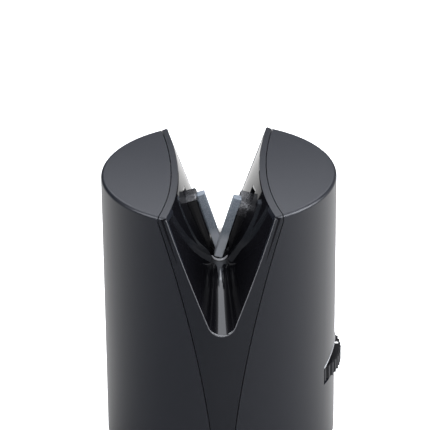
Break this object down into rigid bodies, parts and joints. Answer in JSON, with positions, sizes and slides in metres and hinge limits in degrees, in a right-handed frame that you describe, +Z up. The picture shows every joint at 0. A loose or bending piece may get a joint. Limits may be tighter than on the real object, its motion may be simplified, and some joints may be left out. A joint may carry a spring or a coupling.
{
  "type": "manual knife sharpener",
  "caption": "round counter-top knife sharpener: sprung arms carry abrasive sticks crossing in a V trough, a side thumbwheel sets their angle",
  "frame": {"origin": "centre of the foot pad's underside, on the vertical axis of the round body", "axes": "+Z up; +X to the right of someone who faces the front, towards the thumbwheel; Y along the trough, in which the blade is drawn, with -Y the front"},
  "size_m": [0.0864, 0.084, 0.108],
  "materials": {
    "casing": "satin black moulded ABS, fine grain",
    "frame": "satin dark grey moulded ABS",
    "liner": "high-gloss black ABS",
    "arm": "high-gloss black glass-filled nylon",
    "arm_cap": "spark-grained grey-black nylon",
    "stick": "fine diamond-coated steel",
    "wheel": "satin black acetal",
    "mark": "white pad-printed dot",
    "steel": "zinc-plated steel",
    "brass": "turned brass",
    "inner": "dark grey glass-filled nylon",
    "plate": "black moulded ABS",
    "pad": "black non-slip rubber"
  },
  "bodies": {
    "housing": {"base_plate": "plate", "base_screws": "steel", "chassis": "inner", "click_screw": "steel", "click_spring": "steel", "deck_plate": "inner", "deck_screws": "steel", "foot_pad": "pad", "frame_screws": "steel", "guide_posts": "steel", "left_shell": "casing", "left_spring": "steel", "liner_screws": "steel", "lower_bush": "brass", "pin_clips": "steel", "pin_spacers": "steel", "pivot_pin": "steel", "pivot_washers": "steel", "right_shell": "casing", "right_spring": "steel", "upper_bush": "brass", "v_frame": "frame", "v_liner": "liner"},
    "angle_wheel": {"angle_wheel": "wheel", "index_mark": "mark", "wheel_shaft": "steel"},
    "lift_yoke": {"lift_yoke": "inner", "lift_pegs": "steel", "lift_nut": "brass"},
    "left_lever": {"left_lever": "steel"},
    "right_lever": {"right_lever": "steel"},
    "left_arm": {"left_arm": "arm", "left_arm_cap": "arm_cap", "left_stick": "stick"},
    "right_arm": {"right_arm": "arm", "right_arm_cap": "arm_cap", "right_stick": "stick"}
  },
  "joints": [
    {"name": "wheel_turn", "type": "hinge", "parent": "housing", "child": "angle_wheel", "pos_m": [0.0174, 0, 0.034], "axis": [0, 0, 1], "range_deg": [-150, 150]},
    {"name": "yoke_lift", "type": "slide", "parent": "housing", "child": "lift_yoke", "axis": [0, 0, 1], "range_m": [-0.00042, 0.00042]},
    {"name": "left_lever_swing", "type": "hinge", "parent": "housing", "child": "left_lever", "pos_m": [0, 0, 0.0616], "axis": [0, -1, 0], "range_deg": [-2.4, 2.4]},
    {"name": "right_lever_swing", "type": "hinge", "parent": "housing", "child": "right_lever", "pos_m": [0, 0, 0.0616], "axis": [0, 1, 0], "range_deg": [-2.4, 2.4]},
    {"name": "left_arm_swing", "type": "hinge", "parent": "left_lever", "child": "left_arm", "pos_m": [0, 0, 0.0616], "axis": [0, -1, 0], "range_deg": [0, 8], "stiffness_Nm_per_rad": 0.3, "springref_deg": -28.65, "deforming": ["left_spring"]},
    {"name": "right_arm_swing", "type": "hinge", "parent": "right_lever", "child": "right_arm", "pos_m": [0, 0, 0.0616], "axis": [0, 1, 0], "range_deg": [0, 8], "stiffness_Nm_per_rad": 0.3, "springref_deg": -28.65, "deforming": ["right_spring"]}
  ],
  "couplings": [
    {"joint": "yoke_lift", "follows": "wheel_turn", "m_per_rad": 0.00015915},
    {"joint": "left_lever_swing", "follows": "wheel_turn", "ratio": 0.015915},
    {"joint": "right_lever_swing", "follows": "wheel_turn", "ratio": 0.015915}
  ]
}
